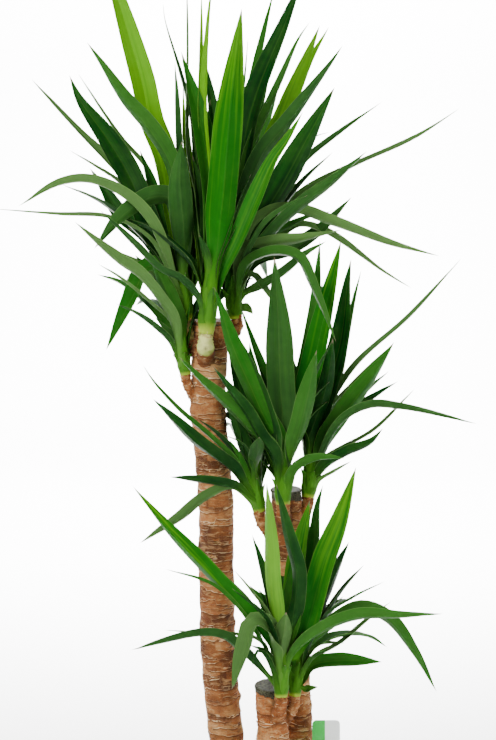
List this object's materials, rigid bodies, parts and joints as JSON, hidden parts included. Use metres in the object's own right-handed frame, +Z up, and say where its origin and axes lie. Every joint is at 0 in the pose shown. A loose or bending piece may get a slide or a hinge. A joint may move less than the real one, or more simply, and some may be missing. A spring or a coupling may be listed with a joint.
{
  "type": "potted spineless yucca",
  "caption": "Floor plant with woody canes of different height in a plain round nursery pot, each topped by heads of long pointed leaves.",
  "frame": {"origin": "centre of the pot's underside, on the surface that it stands on", "axes": "+Z up along the canes, +X to the right and +Y away as seen from the front"},
  "size_m": [0.7585, 0.6297, 1.6067],
  "materials": {
    "pot": "matte, slightly textured moulded plastic",
    "soil": "coarse crumbly potting soil with bark chips",
    "label": "smooth thin plastic, off-white with a green band",
    "bark": "rough brown bark with pale ring scars",
    "wax": "dull dark grey sealing wax",
    "leaf": "waxy satin leaf with fine lengthwise veins"
  },
  "bodies": {
    "root": {"pot": "pot", "soil": "soil", "plant_label": "label", "cane_tall": "bark", "cane_medium": "bark", "cane_small": "bark", "wax_tall": "wax", "wax_medium": "wax", "wax_small": "wax", "leaves_tall_left": "leaf", "leaves_tall_low": "leaf", "leaves_tall_front": "leaf", "leaves_tall_right": "leaf", "leaves_medium_left": "leaf", "leaves_medium_centre": "leaf", "leaves_medium_right": "leaf", "leaves_small_front": "leaf", "leaves_small_back": "leaf"}
  },
  "joints": []
}
